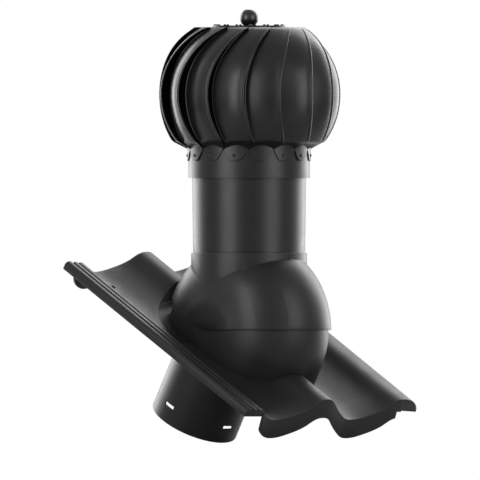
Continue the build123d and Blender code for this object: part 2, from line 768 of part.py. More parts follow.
def blade_section(height):
    """Level section of a blade: a bowed strip of sheet with a folded hem along its free edge."""
    radius, angle = free_edge(height)
    rise = height - equator
    reach = head_rise if rise > 0 else foot_drop
    opening = opening_end + (blade_opening - opening_end) * (1 - (rise / reach) ** 2)
    lean = cos(asin(rise / profile_radius))
    edge = polar(radius, angle)
    back = polar(radius - opening, angle - blade_span)
    chord = edge - back
    along = chord.normalized()
    inwards = Vector(-along.Y, along.X)
    bow = section_radius - sqrt(section_radius**2 - (chord.length / 2) ** 2)
    middle = (edge + back) * 0.5 - inwards * bow
    skin = inwards * (sheet / lean)
    fold = inwards * (2.2 * sheet / lean)
    step = along * -hem
    hem_bow = inwards * (bow * 4 * hem / chord.length * (1 - hem / chord.length) * -1)
    shoulder_point = edge + step + hem_bow
    with BuildSketch(level(height)) as section:
        with BuildLine():
            ThreePointArc(back, middle, edge)
            Polyline(edge, edge + fold, shoulder_point + fold, shoulder_point + skin)
            ThreePointArc(shoulder_point + skin, middle + skin, back + skin)
            Line(back + skin, back)
        make_face()
    return section.sketch


blade_levels = [blade_foot + (blade_head - sheet / 2 - blade_foot) * step / 8 for step in range(9)]
head_radius, head_angle = free_edge(blade_head)
foot_radius, foot_angle = free_edge(blade_foot)

with BuildPart() as blade:
    loft([blade_section(height) for height in blade_levels])
with BuildPart() as head_tab:
    with BuildSketch(level(blade_head - sheet)):
        with BuildLine():
            left, right = head_angle - blade_step + 1.2, head_angle - 1.0
            outer_radius = head_radius - sheet
            Line(polar(tab_inner_radius, left), polar(outer_radius, left))
            RadiusArc(polar(outer_radius, left), polar(outer_radius, right), -outer_radius)
            Line(polar(outer_radius, right), polar(tab_inner_radius, right))
            RadiusArc(polar(tab_inner_radius, right), polar(tab_inner_radius, left), tab_inner_radius)
        make_face()
        with Locations(polar(crown_rivet_ring, crown_rivet_angle)):
            Circle(rivet_radius + fit_gap, mode=Mode.SUBTRACT)
    extrude(amount=sheet)

tab_back = polar(tab_face, tab_left)
tab_front = polar(tab_face, tab_right)
tab_middle = polar(tab_face, (tab_left + tab_right) / 2)
tab_skin = 1 - sheet / tab_face

with BuildPart() as skirt:
    back = polar(foot_radius - opening_end, foot_angle - blade_span + skirt_trim)
    edge = polar(foot_radius, foot_angle)
    along = (edge - back).normalized()
    inwards = Vector(-along.Y, along.X)
    bow = section_radius - sqrt(section_radius**2 - ((edge - back).length / 2) ** 2)
    middle = (edge + back) * 0.5 - inwards * bow
    skin = inwards * 1.5 * sheet
    with BuildSketch(level(blade_foot)):
        with BuildLine():
            ThreePointArc(back, middle, edge)
            Line(edge, edge + skin)
            ThreePointArc(edge + skin, middle + skin, back + skin)
            Line(back + skin, back)
        make_face()
    with BuildSketch(level(tab_side)):
        with BuildLine():
            ThreePointArc(tab_back, tab_middle, tab_front)
            Line(tab_front, tab_front * tab_skin)
            ThreePointArc(tab_front * tab_skin, tab_middle * tab_skin, tab_back * tab_skin)
            Line(tab_back * tab_skin, tab_back)
        make_face()
    loft(ruled=True)

with BuildPart() as foot_tab:
    with BuildSketch(level(tab_foot)):
        with BuildLine():
            ThreePointArc(tab_back, tab_middle, tab_front)
            Line(tab_front, tab_front * tab_skin)
            ThreePointArc(tab_front * tab_skin, tab_middle * tab_skin, tab_back * tab_skin)
            Line(tab_back * tab_skin, tab_back)
        make_face()
    extrude(amount=tab_side - tab_foot)
    with BuildSketch(radial_plane(tab_centre, 0)) as outline:
        left = tab_face * sin(radians(tab_left - tab_centre)) - sheet
        right = tab_face * sin(radians(tab_right - tab_centre)) + sheet
        with BuildLine():
            Polyline((left, tab_side + sheet), (right, tab_side + sheet), (tab_width / 2, tab_foot),
                     (-tab_width / 2, tab_foot), close=True)
        make_face()
        fillet(outline.vertices().group_by(Axis.Z)[0], tab_width / 3)
        with Locations((0, rivet_height)):
            Circle(rivet_radius + fit_gap, mode=Mode.SUBTRACT)
    extrude(amount=1.1 * tab_face, mode=Mode.INTERSECT)
with BuildPart() as whole_blade:
    add(skirt.part)
    add(foot_tab.part)
    add(blade.part)
    add(head_tab.part)

for number in range(blade_count):
    with BuildPart() as turned_blade:
        add(whole_blade.part.rotate(rotor_axis, blade_phase + number * blade_step))
    turned_blade.part.label = f"blade_{number + 1:02d}"
    export_step(turned_blade.part, f"parts/blade_{number + 1:02d}.step")
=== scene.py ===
"""Finish model of a roof turbine ventilator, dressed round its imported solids.

Lengths are in metres. +Z is up, +X runs across the roof and +Y uphill. The origin is the centre of the duct
spigot's open mouth. Heights of the cowl, riser and rotor are given above the tilt axis.
"""

import json
from math import asin, cos, hypot, pi, radians, sin, sqrt, tau

import bpy
from bpy.props import FloatProperty, FloatVectorProperty, IntProperty, PointerProperty
from mathutils import Matrix, Vector

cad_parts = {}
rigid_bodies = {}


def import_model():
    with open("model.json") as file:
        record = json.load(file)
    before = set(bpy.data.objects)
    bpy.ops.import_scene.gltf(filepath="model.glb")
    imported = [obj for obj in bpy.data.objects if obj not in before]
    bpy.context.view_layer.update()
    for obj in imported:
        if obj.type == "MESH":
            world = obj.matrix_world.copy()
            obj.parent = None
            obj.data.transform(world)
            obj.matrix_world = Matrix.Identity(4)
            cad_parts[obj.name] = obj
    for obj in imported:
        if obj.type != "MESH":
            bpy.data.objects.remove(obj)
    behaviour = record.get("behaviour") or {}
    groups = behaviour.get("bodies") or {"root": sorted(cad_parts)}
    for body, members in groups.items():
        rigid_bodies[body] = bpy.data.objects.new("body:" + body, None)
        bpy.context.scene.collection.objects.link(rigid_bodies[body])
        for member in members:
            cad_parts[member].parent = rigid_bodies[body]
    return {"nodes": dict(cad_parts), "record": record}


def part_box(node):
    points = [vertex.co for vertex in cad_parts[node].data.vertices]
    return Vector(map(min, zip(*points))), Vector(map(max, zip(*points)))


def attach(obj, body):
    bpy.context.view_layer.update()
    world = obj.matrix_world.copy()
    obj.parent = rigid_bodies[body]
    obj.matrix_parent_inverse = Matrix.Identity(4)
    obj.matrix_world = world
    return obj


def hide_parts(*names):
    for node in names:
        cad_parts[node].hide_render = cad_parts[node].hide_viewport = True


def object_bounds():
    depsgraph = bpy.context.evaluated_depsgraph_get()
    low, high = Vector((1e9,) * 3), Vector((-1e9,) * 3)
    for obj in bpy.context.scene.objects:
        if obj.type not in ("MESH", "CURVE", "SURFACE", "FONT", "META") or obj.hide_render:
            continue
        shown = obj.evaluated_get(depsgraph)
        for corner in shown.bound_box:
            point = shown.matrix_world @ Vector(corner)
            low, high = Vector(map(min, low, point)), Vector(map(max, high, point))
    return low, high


bl_info = {
    "name": "Roof turbine ventilator",
    "version": (1, 0, 0),
    "blender": (4, 5, 0),
    "location": "View3D > Sidebar > Ventilator",
    "description": "Models the finish of a roof turbine ventilator round its packed solids",
    "category": "Object",
}

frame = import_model()
solid_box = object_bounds()
PIVOT = Vector((0.0, -0.108104, 0.126842))
ROOF_UP = Vector((0.0, -sin(radians(30.0)), cos(radians(30.0))))     # square to the roof
RIB_STEPS = 6           # slices in each of the rib's two rounds
BLADE_PHASE = 221.0     # direction of the first blade's free edge at the equator, in degrees
CREST_RISE = 0.4725     # greatest value of share - share**4, which shapes a blade's section
ARC_PER_DEGREE = 0.00212    # length along a blade's section for each degree it spans
SHEET_GLOSS = 0.215
PLASTIC_GLOSS = 0.20


# ---------------------------------------------------------------- sizes and colours
class RotorSizes(bpy.types.PropertyGroup):
    """Shape of the rotor's blades and their tabs"""
    blade_count: IntProperty(
        name="Blades", description="Number of blades round the rotor", default=15, min=3)
    equator: FloatProperty(
        name="Equator", description="Height of the widest level above the tilt axis", default=0.330,
        subtype="DISTANCE", unit="LENGTH")
    profile_radius: FloatProperty(
        name="Profile radius", description="Arc of the free edges, seen from the side", default=0.1125,
        subtype="DISTANCE", unit="LENGTH")
    profile_offset: FloatProperty(
        name="Profile offset", description="Centre of that arc from the rotor's axis", default=0.015,
        subtype="DISTANCE", unit="LENGTH")
    sheet: FloatProperty(
        name="Sheet", description="Thickness of the blades' sheet", default=0.0012,
        subtype="DISTANCE", unit="LENGTH")
    hem: FloatProperty(
        name="Hem", description="Width of the rolled bead along a free edge", default=0.0044,
        subtype="DISTANCE", unit="LENGTH")
    hem_proud: FloatProperty(
        name="Hem height", description="How far the bead stands off the blade", default=0.0016,
        subtype="DISTANCE", unit="LENGTH")
    inner_hem: FloatProperty(
        name="Inner hem", description="Width of the small bead along an inner edge", default=0.0020,
        subtype="DISTANCE", unit="LENGTH")
    blade_foot: FloatProperty(
        name="Blade foot", description="Height where the blade turns in to its skirt", default=0.263,
        subtype="DISTANCE", unit="LENGTH")
    blade_head: FloatProperty(
        name="Blade head", description="Height of the level head tabs", default=0.4239,
        subtype="DISTANCE", unit="LENGTH")
    section_radius: FloatProperty(
        name="Bow", description="Radius of the blade across its width", default=0.074,
        subtype="DISTANCE", unit="LENGTH")
    edge_tuck: FloatProperty(
        name="Edge tuck", description="How far the free edge turns in at the equator", default=0.0012,
        subtype="DISTANCE", unit="LENGTH")
    edge_lead: FloatProperty(
        name="Edge lead", description="Angle of the free edge at the equator, in degrees", default=0.9)
    head_sweep: FloatProperty(
        name="Head sweep", description="Sideways run of the free edge at the head", default=0.0347,
        subtype="DISTANCE", unit="LENGTH")
    foot_sweep: FloatProperty(
        name="Foot sweep", description="Sideways run of the free edge, as far below the equator",
        default=0.0252, subtype="DISTANCE", unit="LENGTH")
    opening: FloatProperty(
        name="Opening", description="Gap behind the free edge at the equator", default=0.0125,
        subtype="DISTANCE", unit="LENGTH")
    end_opening: FloatProperty(
        name="End opening", description="Gap behind the free edge at head and foot", default=0.006,
        subtype="DISTANCE", unit="LENGTH")
    blade_span: FloatProperty(
        name="Blade span", description="Angle from free edge to inner edge, in degrees", default=24.4)
    tab_face: FloatProperty(
        name="Tab face", description="Radius of the foot tabs", default=0.0865,
        subtype="DISTANCE", unit="LENGTH")
    tab_foot: FloatProperty(
        name="Tab foot", description="Height of the foot tabs' lower edge", default=0.236,
        subtype="DISTANCE", unit="LENGTH")
    tab_side: FloatProperty(
        name="Tab side", description="Height of the fold at the tab corners", default=0.253,
        subtype="DISTANCE", unit="LENGTH")
    tab_arch: FloatProperty(
        name="Tab arch", description="Rise of the fold at its middle", default=0.006,
        subtype="DISTANCE", unit="LENGTH")
    tab_left: FloatProperty(
        name="Tab left", description="Angle of the left corner from the free edge, in degrees", default=-20.0)
    tab_right: FloatProperty(
        name="Tab right", description="Angle of the right corner from the free edge, in degrees", default=3.5)
    tab_centre: FloatProperty(
        name="Tab centre", description="Angle of the rivet from the free edge, in degrees", default=-10.2)
    head_tab: FloatProperty(
        name="Head tab", description="Angle that the head tab's inner end spans, in degrees", default=21.9)
    tab_inner: FloatProperty(
        name="Tab inner", description="Inner radius of the head tabs", default=0.042,
        subtype="DISTANCE", unit="LENGTH")


class PlateSizes(bpy.types.PropertyGroup):
    """Rounding of the plate's outer rib"""
    rib_left: FloatProperty(
        name="Rib left", description="Outer side of the plate's outer rib", default=-0.1645,
        subtype="DISTANCE", unit="LENGTH")
    rib_right: FloatProperty(
        name="Rib right", description="Inner side of the plate's outer rib", default=-0.1515,
        subtype="DISTANCE", unit="LENGTH")
    rib_top: FloatProperty(
        name="Rib top", description="Top of that rib from the tilt axis, square to the roof", default=-0.0155,
        subtype="DISTANCE", unit="LENGTH")
    rib_outer_round: FloatProperty(
        name="Outer round", description="Rounding of the rib towards the outside", default=0.0075,
        subtype="DISTANCE", unit="LENGTH")
    rib_inner_round: FloatProperty(
        name="Inner round", description="Rounding of the rib towards the plate", default=0.0044,
        subtype="DISTANCE", unit="LENGTH")


class FinishColours(bpy.types.PropertyGroup):
    """Colours of the finishes"""
    tile: FloatVectorProperty(
        name="Tile", description="Plastic of the plate and its drum", subtype="COLOR", size=3, min=0, max=1,
        default=(0.0045, 0.0045, 0.0047))
    cowl: FloatVectorProperty(
        name="Cowl", description="Plastic of the tilting cowl", subtype="COLOR", size=3, min=0, max=1,
        default=(0.0040, 0.0040, 0.0042))
    sheet: FloatVectorProperty(
        name="Sheet", description="Paint of the riser and the rotor", subtype="COLOR", size=3, min=0, max=1,
        default=(0.0038, 0.0038, 0.0040))
    knob: FloatVectorProperty(
        name="Knob", description="Plastic of the finial", subtype="COLOR", size=3, min=0, max=1,
        default=(0.004, 0.004, 0.0043))
    steel: FloatVectorProperty(
        name="Steel", description="Zinc-plated bracket and housing", subtype="COLOR", size=3, min=0, max=1,
        default=(0.42, 0.43, 0.44))


class StageSizes(bpy.types.PropertyGroup):
    """Framing and lamps"""
    view_width: FloatProperty(
        name="View width", description="Width that the camera takes in", default=0.672,
        subtype="DISTANCE", unit="LENGTH")
    key_power: FloatProperty(
        name="Key light", description="Watts of the left softbox", default=25.0, min=0)
    fill_power: FloatProperty(
        name="Fill light", description="Watts of the right softbox", default=19.0, min=0)
    rim_power: FloatProperty(
        name="Rim light", description="Watts of each rear softbox", default=26.0, min=0)
    top_power: FloatProperty(
        name="Top light", description="Watts of the raised rear softbox", default=15.0, min=0)


# ---------------------------------------------------------------- materials
class Nodes:
    """Short hand for building a node tree."""

    def __init__(self, name):
        self.material = bpy.data.materials.new(name)
        self.material.use_nodes = True
        self.tree = self.material.node_tree
        self.tree.nodes.clear()
        self.output = self.add("ShaderNodeOutputMaterial")
        self.shader = self.add("ShaderNodeBsdfPrincipled")
        self.link(self.shader, "BSDF", self.output, "Surface")
        self.place = self.add("ShaderNodeTexCoord")

    def add(self, kind, **settings):
        node = self.tree.nodes.new(kind)
        for key, value in settings.items():
            setattr(node, key, value)
        return node

    def link(self, source, output, target, socket):
        self.tree.links.new(source.outputs[output], target.inputs[socket])

    def noise(self, scale, detail=3.0, roughness=0.5, stretch=(1, 1, 1)):
        mapping = self.add("ShaderNodeMapping")
        mapping.inputs["Scale"].default_value = stretch
        self.link(self.place, "Object", mapping, "Vector")
        noise = self.add("ShaderNodeTexNoise")
        noise.inputs["Scale"].default_value = scale
        noise.inputs["Detail"].default_value = detail
        noise.inputs["Roughness"].default_value = roughness
        self.link(mapping, "Vector", noise, "Vector")
        return noise

    def ramp(self, source, output, low, high, start, end):
        """Maps a value between two limits onto a range."""
        ramp = self.add("ShaderNodeMapRange")
        ramp.inputs["From Min"].default_value = low
        ramp.inputs["From Max"].default_value = high
        ramp.inputs["To Min"].default_value = start
        ramp.inputs["To Max"].default_value = end
        self.link(source, output, ramp, "Value")
        return ramp

    def tint(self, factor, output, first, second):
        """Colour that goes from one to another with a factor."""
        mix = self.add("ShaderNodeMix", data_type="RGBA")
        mix.inputs[6].default_value = (*first, 1)
        mix.inputs[7].default_value = (*second, 1)
        self.link(factor, output, mix, 0)
        return mix

    def bump(self, height, output, strength, distance, under=None):
        bump = self.add("ShaderNodeBump")
        bump.inputs["Strength"].default_value = strength
        bump.inputs["Distance"].default_value = distance
        self.link(height, output, bump, "Height")
        if under:
            self.link(under, "Normal", bump, "Normal")
        return bump


def moulded_plastic(name, colour, roughness, grain, level):
    """Satin plastic with a fine moulded grain and a faint clouding."""
    n = Nodes(name)
    cloud = n.noise(14, 4, 0.6)
    mottle = n.ramp(cloud, "Fac", 0.3, 0.7, 0.0, 1.0)
    base = n.tint(mottle, "Result", tuple(0.88 * c for c in colour), tuple(1.15 * c for c in colour))
    n.link(base, 2, n.shader, "Base Color")
    smear = n.noise(38, 5, 0.6, (1, 1, 0.35))
    gloss = n.ramp(smear, "Fac", 0.25, 0.75, roughness - 0.04, roughness + 0.05)
    n.link(gloss, "Result", n.shader, "Roughness")
    fine = n.noise(2600, 2, 0.5)
    texture = n.bump(fine, "Fac", grain, 0.00012)
    sink = n.noise(9, 2, 0.4)
    wander = n.bump(sink, "Fac", 0.12, 0.002, texture)
    n.link(wander, "Normal", n.shader, "Normal")
    n.shader.inputs["Specular IOR Level"].default_value = level
    return n.material


def painted_sheet(name, colour, roughness, level):
    """Powder coat on sheet metal: a faint orange peel and slight oil-canning under a satin film."""
    n = Nodes(name)
    cloud = n.noise(20, 3, 0.55)
    mottle = n.ramp(cloud, "Fac", 0.3, 0.7, 0.0, 1.0)
    base = n.tint(mottle, "Result", tuple(0.9 * c for c in colour), tuple(1.12 * c for c in colour))
    n.link(base, 2, n.shader, "Base Color")
    drift = n.noise(55, 4, 0.6)
    gloss = n.ramp(drift, "Fac", 0.25, 0.75, roughness - 0.035, roughness + 0.045)
    n.link(gloss, "Result", n.shader, "Roughness")
    peel = n.noise(900, 1.5, 0.4)
    film = n.bump(peel, "Fac", 0.05, 0.0002)
    canning = n.noise(16, 1, 0.3)
    wave = n.bump(canning, "Fac", 0.1, 0.0015, film)
    n.link(wave, "Normal", n.shader, "Normal")
    n.shader.inputs["Specular IOR Level"].default_value = level
    return n.material


def plated_steel(name, colour, roughness, scale):
    """Bare or zinc-plated steel with fine turning lines and a cloudy plating."""
    n = Nodes(name)
    spangle = n.noise(scale, 3, 0.6)
    tone = n.ramp(spangle, "Fac", 0.3, 0.7, 0.0, 1.0)
    base = n.tint(tone, "Result", tuple(0.8 * c for c in colour), tuple(min(1.0, 1.12 * c) for c in colour))
    n.link(base, 2, n.shader, "Base Color")
    lines = n.noise(320, 2, 0.5, (1, 1, 9))
    gloss = n.ramp(lines, "Fac", 0.3, 0.7, roughness - 0.06, roughness + 0.08)
    n.link(gloss, "Result", n.shader, "Roughness")
    turning = n.bump(lines, "Fac", 0.12, 0.0001)
    n.link(turning, "Normal", n.shader, "Normal")
    n.shader.inputs["Metallic"].default_value = 1.0
    return n.material


def rubber(name, colour):
    """Matt rubber with a dusty bloom."""
    n = Nodes(name)
    bloom = n.noise(90, 4, 0.6)
    tone = n.ramp(bloom, "Fac", 0.35, 0.7, 0.0, 1.0)
    base = n.tint(tone, "Result", colour, tuple(1.8 * c for c in colour))
    n.link(base, 2, n.shader, "Base Color")
    grain = n.noise(1500, 2, 0.5)
    skin = n.bump(grain, "Fac", 0.2, 0.0002)
    n.link(skin, "Normal", n.shader, "Normal")
    n.shader.inputs["Roughness"].default_value = 0.75
    return n.material


def cover(obj, material):
    """Gives a piece its material."""
    obj.data.materials.clear()
    obj.data.materials.append(material)


def polar(radius, angle, height):
    """Point at a radius, an angle and a height about the rotor's axis."""
    return Vector((radius * cos(angle), radius * sin(angle), height))


def select_faces(piece, wanted):
    """Leaves a piece in edit mode with only the wanted faces selected."""
    bpy.ops.object.mode_set(mode="EDIT")
    bpy.ops.mesh.select_mode(type="FACE")
    bpy.ops.mesh.select_all(action="DESELECT")
    bpy.ops.object.mode_set(mode="OBJECT")
    for face in piece.data.polygons:
        face.select = wanted(face)
    bpy.ops.object.mode_set(mode="EDIT")


def round_off(piece, width, angle, crease):
    """Rounds the edges sharper than an angle and shades the faces between creases smooth."""
    bpy.ops.object.select_all(action="DESELECT")
    piece.select_set(True)
    bpy.context.view_layer.objects.active = piece
    bevel = piece.modifiers.new("edges", "BEVEL")
    bevel.width = width
    bevel.segments = 3
    bevel.limit_method = "ANGLE"
    bevel.angle_limit = radians(angle)
    bevel.use_clamp_overlap = False
    bpy.ops.object.modifier_apply(modifier=bevel.name)
    bpy.ops.object.shade_smooth_by_angle(angle=radians(crease))


class MakeStage(bpy.types.Operator):
    """Pale floor, white surroundings, softboxes and the camera"""
    bl_idname = "ventilator.stage"
    bl_label = "Stage"

    def execute(self, context):
        sizes = context.scene.ventilator_stage
        bpy.ops.object.select_all(action="DESELECT")
        floor_level = solid_box[0].z - 0.0005
        bpy.ops.mesh.primitive_plane_add(size=9.0, location=(0, 0, floor_level))
        floor = context.object
        floor.name = "studio_floor"
        matt = Nodes("pale_floor")
        paper = matt.noise(6, 2, 0.5)
        tone = matt.tint(paper, "Fac", (0.66, 0.66, 0.66), (0.69, 0.69, 0.69))
        matt.link(tone, 2, matt.shader, "Base Color")
        matt.shader.inputs["Roughness"].default_value = 0.9
        matt.shader.inputs["Specular IOR Level"].default_value = 0.1
        floor.data.materials.append(matt.material)
        self.surround(context)
        self.softboxes(sizes)
        camera = bpy.data.cameras.new("view")
        camera.type = "ORTHO"
        camera.ortho_scale = sizes.view_width
        camera.clip_end = 20
        viewer = bpy.data.objects.new("view", camera)
        context.scene.collection.objects.link(viewer)
        aim = Vector((-0.00901, -0.09909, 0.2528))
        back = Vector((-sqrt(0.5), -sqrt(0.5), 0))
        viewer.location = aim + back * 3
        viewer.rotation_euler = (-back).to_track_quat("-Z", "Y").to_euler()
        context.scene.camera = viewer
        context.scene.view_settings.view_transform = "Standard"
        return {"FINISHED"}

    def surround(self, context):
        """World that shows white and lights the object softly."""
        world = bpy.data.worlds.new("studio")
        world.use_nodes = True
        tree = world.node_tree
        tree.nodes.clear()
        output = tree.nodes.new("ShaderNodeOutputWorld")
        mix = tree.nodes.new("ShaderNodeMixShader")
        soft = tree.nodes.new("ShaderNodeBackground")
        soft.inputs["Strength"].default_value = 0.3
        white = tree.nodes.new("ShaderNodeBackground")
        white.inputs["Color"].default_value = (1, 1, 1, 1)
        white.inputs["Strength"].default_value = 1.0
        path = tree.nodes.new("ShaderNodeLightPath")
        seen = tree.nodes.new("ShaderNodeMath")
        seen.operation = "MAXIMUM"
        either = tree.nodes.new("ShaderNodeMath")
        either.operation = "MAXIMUM"
        tree.links.new(path.outputs["Is Camera Ray"], seen.inputs[0])
        tree.links.new(path.outputs["Is Glossy Ray"], seen.inputs[1])
        tree.links.new(seen.outputs[0], either.inputs[0])
        tree.links.new(path.outputs["Is Transmission Ray"], either.inputs[1])
        tree.links.new(either.outputs[0], mix.inputs[0])
        tree.links.new(soft.outputs[0], mix.inputs[1])
        tree.links.new(white.outputs[0], mix.inputs[2])
        tree.links.new(mix.outputs[0], output.inputs[0])
        context.scene.world = world

    def softboxes(self, sizes):
        """Softboxes left and right of the view, two behind as rims and one raised behind."""
        centre = PIVOT + Vector((0, 0, 0.15))
        facing = 225.0
        for name, turn, reach, height, size, power in (
            ("left_softbox", facing - 42, 1.5, 0.35, (0.75, 1.5), sizes.key_power),
            ("right_softbox", facing + 47, 1.5, 0.35, (0.75, 1.5), sizes.fill_power),
            ("left_rim_softbox", facing - 136, 1.5, 0.2, (1.0, 1.6), sizes.rim_power),
            ("right_rim_softbox", facing + 135, 1.5, 0.2, (1.0, 1.6), sizes.rim_power),
            ("top_softbox", facing + 160, 1.3, 1.2, (1.2, 1.0), sizes.top_power),
        ):
            lamp = bpy.data.lights.new(name, "AREA")
            lamp.shape = "RECTANGLE"
            lamp.size, lamp.size_y = size
            lamp.energy = power
            softbox = bpy.data.objects.new(name, lamp)
            softbox.location = centre + polar(reach, radians(turn), height)
            softbox.rotation_euler = (centre - softbox.location).to_track_quat("-Z", "Y").to_euler()
            softbox.visible_camera = False
            bpy.context.scene.collection.objects.link(softbox)


class MakeBlades(bpy.types.Operator):
    """Blades of one sheet each: riveted foot tab, slanting skirt, hemmed blade and head tab"""
    bl_idname = "ventilator.blades"
    bl_label = "Blades"

    bead_columns = (4, 22, 8)       # inner bead, plain sheet and outer bead
    inner_bead = 0.55               # its height as a share of the outer bead's
    bead_run_out = 0.003            # length over which a bead fades in at the blade's ends
    tab_flat = 0.0085               # half width of the straight part of a tab's lower edge
    tab_corner = 0.0025             # softness of the corner beside it
    tab_slopes = (2.4, 1.45)        # rise of the lower edge beyond it, left and right
    tab_least = 0.0006              # least height of a tab below its fold
    tab_splay = 0.0004              # how far a tab's foot stands out from its fold
    rows = (("tab", 7), ("skirt", 5), ("blade", 46), ("head", 5))

    def execute(self, context):
        self.sizes = context.scene.ventilator_rotor
        blade = self.formed_sheet()
        finish = painted_sheet("blade_paint", context.scene.ventilator_colours.sheet, 0.34, SHEET_GLOSS)
        step = tau / self.sizes.blade_count
        for number in range(self.sizes.blade_count):
            turned = blade.copy()
            turned.data = blade.data.copy()
            turned.name = turned.data.name = f"sheet_blade_{number + 1:02d}"
            context.scene.collection.objects.link(turned)
            spin = Matrix.Rotation(radians(BLADE_PHASE) + number * step, 4, "Z")
            turned.data.transform(Matrix.Translation(PIVOT) @ spin)
            cover(turned, finish)
            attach(turned, "rotor")
            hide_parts(f"blade_{number + 1:02d}")
        bpy.data.objects.remove(blade)
        return {"FINISHED"}

    def free_edge(self, height):
        """Radius and angle of the free edge at a height."""
        s = self.sizes
        rise = (height - s.equator) / (s.blade_head - s.equator)
        radius = s.profile_offset + sqrt(s.profile_radius**2 - (height - s.equator) ** 2)
        run = (s.head_sweep if rise > 0 else s.foot_sweep) * rise**2
        return radius - s.edge_tuck * self.fullness(height), radians(s.edge_lead) + asin(run / radius)

    def fullness(self, height):
        """1 at the equator, 0 at the blade's head and foot."""
        s = self.sizes
        rise = height - s.equator
        reach = s.blade_head - s.equator if rise > 0 else s.equator - s.blade_foot
        return 1 - (rise / reach) ** 2

    def bowed(self, share, height):
        """Point of the blade's outer face, from its inner edge at 0 to its free edge at 1."""
        s = self.sizes
        full = self.fullness(height)
        radius, angle = self.free_edge(height)
        opening = s.end_opening + (s.opening - s.end_opening) * full
        edge = polar(radius, angle, height)
        back = polar(radius - opening, angle - radians(s.blade_span), height)
        chord = edge - back
        outwards = Vector((chord.y, -chord.x, 0)).normalized()
        depth = s.section_radius - sqrt(s.section_radius**2 - (chord.length / 2) ** 2)
        return back + chord * share + outwards * (depth * (share - share**4) / CREST_RISE)

    def beaded(self, share, height, bead):
        """Point of the outer face with the bead's rise on it."""
        s = self.sizes
        along = self.bowed(min(share + 0.01, 1), height) - self.bowed(share - 0.01, height)
        outwards = Vector((along.y, -along.x, 0)).normalized()
        ends = min(height - s.blade_foot, s.blade_head - height) / self.bead_run_out
        return self.bowed(share, height) + outwards * (bead * max(0.0, min(1.0, ends)))

    def tab_point(self, share, drop):
        """Point of the foot tab, from its arched fold at 0 to its rounded lower edge at 1."""
        s = self.sizes
        angle = radians(s.tab_left + (s.tab_right - s.tab_left) * share)
        fold = s.tab_side + s.tab_arch * (1 - (2 * share - 1) ** 2)
        across = s.tab_face * sin(angle - radians(s.tab_centre))
        slope = self.tab_slopes[0] if across < 0 else self.tab_slopes[1]
        beyond = abs(across) - self.tab_flat
        foot = s.tab_foot + slope * (beyond + hypot(beyond, self.tab_corner)) / 2
        foot = min(foot, fold - self.tab_least)
        return polar(s.tab_face + self.tab_splay * drop, angle, fold + (foot - fold) * drop)

    def head_point(self, share, inwards):
        """Point of the level head tab, from the blade's head at 0 to the tab's inner edge at 1."""
        s = self.sizes
        start = self.bowed(share, s.blade_head)
        return start.lerp(polar(s.tab_inner, radians(s.head_tab * share), s.blade_head), inwards)

    def sheet_point(self, zone, along, share, bead):
        """Point of the sheet's outer face in one of its zones."""
        s = self.sizes
        if zone == "tab":
            return self.tab_point(share, 1 - along)
        if zone == "skirt":
            return self.tab_point(share, 0).lerp(self.bowed(share, s.blade_foot), along)
        if zone == "blade":
            return self.beaded(share, s.blade_foot + (s.blade_head - s.blade_foot) * along, bead)
        return self.head_point(share, along)

    def columns(self):
        """Share of the width and bead height of each column, from the inner edge to the free edge."""
        s = self.sizes
        width = s.blade_span * ARC_PER_DEGREE
        inner, plain, outer = self.bead_columns
        start, end = s.inner_hem / width, 1 - s.hem / width
        places = []
        for step in range(inner):
            turn = step / inner
            places.append((start * turn, self.inner_bead * s.hem_proud * self.roll(turn)))
        for step in range(plain):
            places.append((start + (end - start) * step / plain, 0.0))
        for step in range(outer + 1):
            turn = (1 - cos(pi * step / outer)) / 2
            places.append((end + (1 - end) * turn, s.hem_proud * self.roll(turn)))
        return places

    @staticmethod
    def roll(turn):
        """Rise across a rolled bead, 0 at its two sides and 1 at its middle."""
        return sqrt(1 - (2 * turn - 1) ** 2)

    def formed_sheet(self):
        """The blade at the rotor's +X side: a grid shaped to the outer face and given its thickness."""
        s = self.sizes
        columns = self.columns()
        levels = []
        for zone, count in self.rows:
            first = 0 if zone == "tab" else 1
            levels += [(zone, step / count) for step in range(first, count + 1)]
        bpy.ops.object.select_all(action="DESELECT")
        bpy.ops.mesh.primitive_grid_add(
            x_subdivisions=len(columns) - 1, y_subdivisions=len(levels) - 1, size=1)
        blade = bpy.context.object
        mesh = blade.data
        for index, vertex in enumerate(mesh.vertices):
            row, column = divmod(index, len(columns))
            vertex.co = self.sheet_point(*levels[row], *columns[column])
        middle = mesh.polygons[len(mesh.polygons) // 2]
        if middle.normal.dot(Vector((middle.center.x, middle.center.y, 0))) < 0:
            mesh.flip_normals()
        solid = blade.modifiers.new("sheet", "SOLIDIFY")
        solid.thickness = s.sheet
        solid.offset = -1
        bpy.ops.object.modifier_apply(modifier=solid.name)
        round_off(blade, 0.0004, 55, 50)
        return blade


def dress(finishes, *nodes):
    """Covers solids with the finish of their slot."""
    for part in frame["record"]["subparts"]:
        if part["node"] in nodes:
            slot = part["material_slot"]
            cover(frame["nodes"][part["node"]], finishes[slot])


def copy_of(node, name):
    """New piece with a solid's mesh, merged and with its flat faces whole."""
    piece = bpy.data.objects.new(name, frame["nodes"][node].data.copy())
    piece.data.name = name
    bpy.context.scene.collection.objects.link(piece)
    bpy.ops.object.select_all(action="DESELECT")
    piece.select_set(True)
    bpy.context.view_layer.objects.active = piece
    bpy.ops.mesh.customdata_custom_splitnormals_clear()
    bpy.ops.object.mode_set(mode="EDIT")
    bpy.ops.mesh.select_all(action="SELECT")
    bpy.ops.mesh.remove_doubles(threshold=0.00001)
    bpy.ops.mesh.dissolve_limited(angle_limit=radians(0.1))
    bpy.ops.object.mode_set(mode="OBJECT")
    return piece


